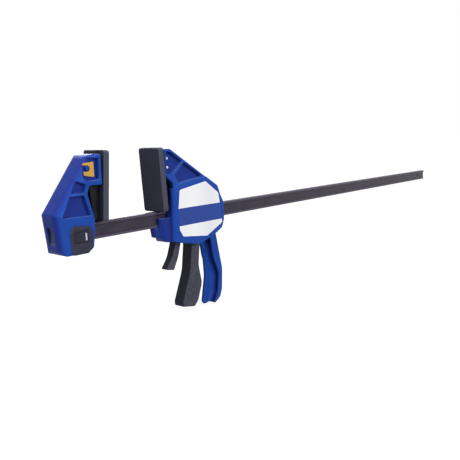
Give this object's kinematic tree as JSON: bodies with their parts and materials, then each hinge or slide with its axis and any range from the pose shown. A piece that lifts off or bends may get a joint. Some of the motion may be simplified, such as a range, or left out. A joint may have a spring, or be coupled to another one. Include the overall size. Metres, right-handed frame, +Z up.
{
  "type": "quick release bar clamp",
  "caption": "One-handed bar clamp: a fixed jaw and a pistol-grip sliding jaw with swivelling pads on a long flat steel bar, with squeeze trigger, release lever and quick change button.",
  "frame": {"origin": "centre of the fixed jaw pad's clamping face, pads resting on their stops", "axes": "+X along the bar towards its far end, +Y towards the far side, +Z up; the handle hangs down"},
  "size_m": [1.2101, 0.043, 0.2592],
  "materials": {
    "bar_steel": "satin",
    "body_blue": "satin",
    "insert_grey": "satin",
    "button_grey": "satin",
    "steel": "brushed",
    "clip_yellow": "satin",
    "carrier_black": "matte",
    "pad_black": "matte",
    "lever_black": "pebbled",
    "label": "gloss"
  },
  "bodies": {
    "bar_and_fixed_jaw": {"bar": "bar_steel", "fixed_jaw_body": "body_blue", "quick_change_housing": "insert_grey", "latch_spring": "steel", "fixed_pad_pin": "steel", "fixed_pad_clip": "clip_yellow", "fixed_stop_pins": "steel"},
    "change_button": {"quick_change_button": "button_grey", "latch_stirrup": "steel"},
    "fixed_pad": {"fixed_pad_carrier": "carrier_black", "fixed_pad_face": "pad_black"},
    "movable_jaw": {"jaw_shell_near": "body_blue", "jaw_shell_far": "body_blue", "jaw_screws": "steel", "label_plate": "label", "moving_pad_pin": "steel", "moving_pad_clip": "clip_yellow", "moving_stop_pins": "steel", "trigger_pin": "steel", "drive_spring": "steel", "brake_spring": "steel"},
    "moving_pad": {"moving_pad_carrier": "carrier_black", "moving_pad_face": "pad_black"},
    "trigger": {"trigger_lever": "lever_black"},
    "release": {"release_lever": "lever_black", "brake_plate": "steel"},
    "drive_plates": {"drive_plate_1": "steel", "drive_plate_2": "steel"}
  },
  "joints": [
    {"name": "jaw_slide", "type": "slide", "parent": "bar_and_fixed_jaw", "child": "movable_jaw", "axis": [1, 0, 0], "range_m": [-0.085, 0.85]},
    {"name": "fixed_pad_swivel", "type": "hinge", "parent": "bar_and_fixed_jaw", "child": "fixed_pad", "pos_m": [-0.03071, 0, 0.02466], "axis": [0, -1, 0], "range_deg": [0, 6]},
    {"name": "moving_pad_swivel", "type": "hinge", "parent": "movable_jaw", "child": "moving_pad", "pos_m": [0.12532, 0, 0.02466], "axis": [0, 1, 0], "range_deg": [0, 6]},
    {"name": "trigger_squeeze", "type": "hinge", "parent": "movable_jaw", "child": "trigger", "pos_m": [0.1633, 0, -0.03468], "axis": [0, -1, 0], "range_deg": [0, 13], "stiffness_Nm_per_rad": 1.2, "springref_deg": -20.05},
    {"name": "release_squeeze", "type": "hinge", "parent": "movable_jaw", "child": "release", "pos_m": [0.1475, 0, -0.03468], "axis": [0, -1, 0], "range_deg": [0, 8], "stiffness_Nm_per_rad": 0.6, "springref_deg": -17.19, "deforming": ["brake_spring"]},
    {"name": "drive_slide", "type": "slide", "parent": "movable_jaw", "child": "drive_plates", "axis": [1, 0, 0], "range_m": [0, 0.0056], "deforming": ["drive_spring"]},
    {"name": "button_press", "type": "slide", "parent": "bar_and_fixed_jaw", "child": "change_button", "axis": [0, 1, 0], "range_m": [0, 0.004], "stiffness_N_per_m": 800, "springref_m": -0.003, "deforming": ["latch_spring"]}
  ],
  "couplings": [
    {"joint": "drive_slide", "follows": "trigger_squeeze", "m_per_rad": 0.024}
  ]
}
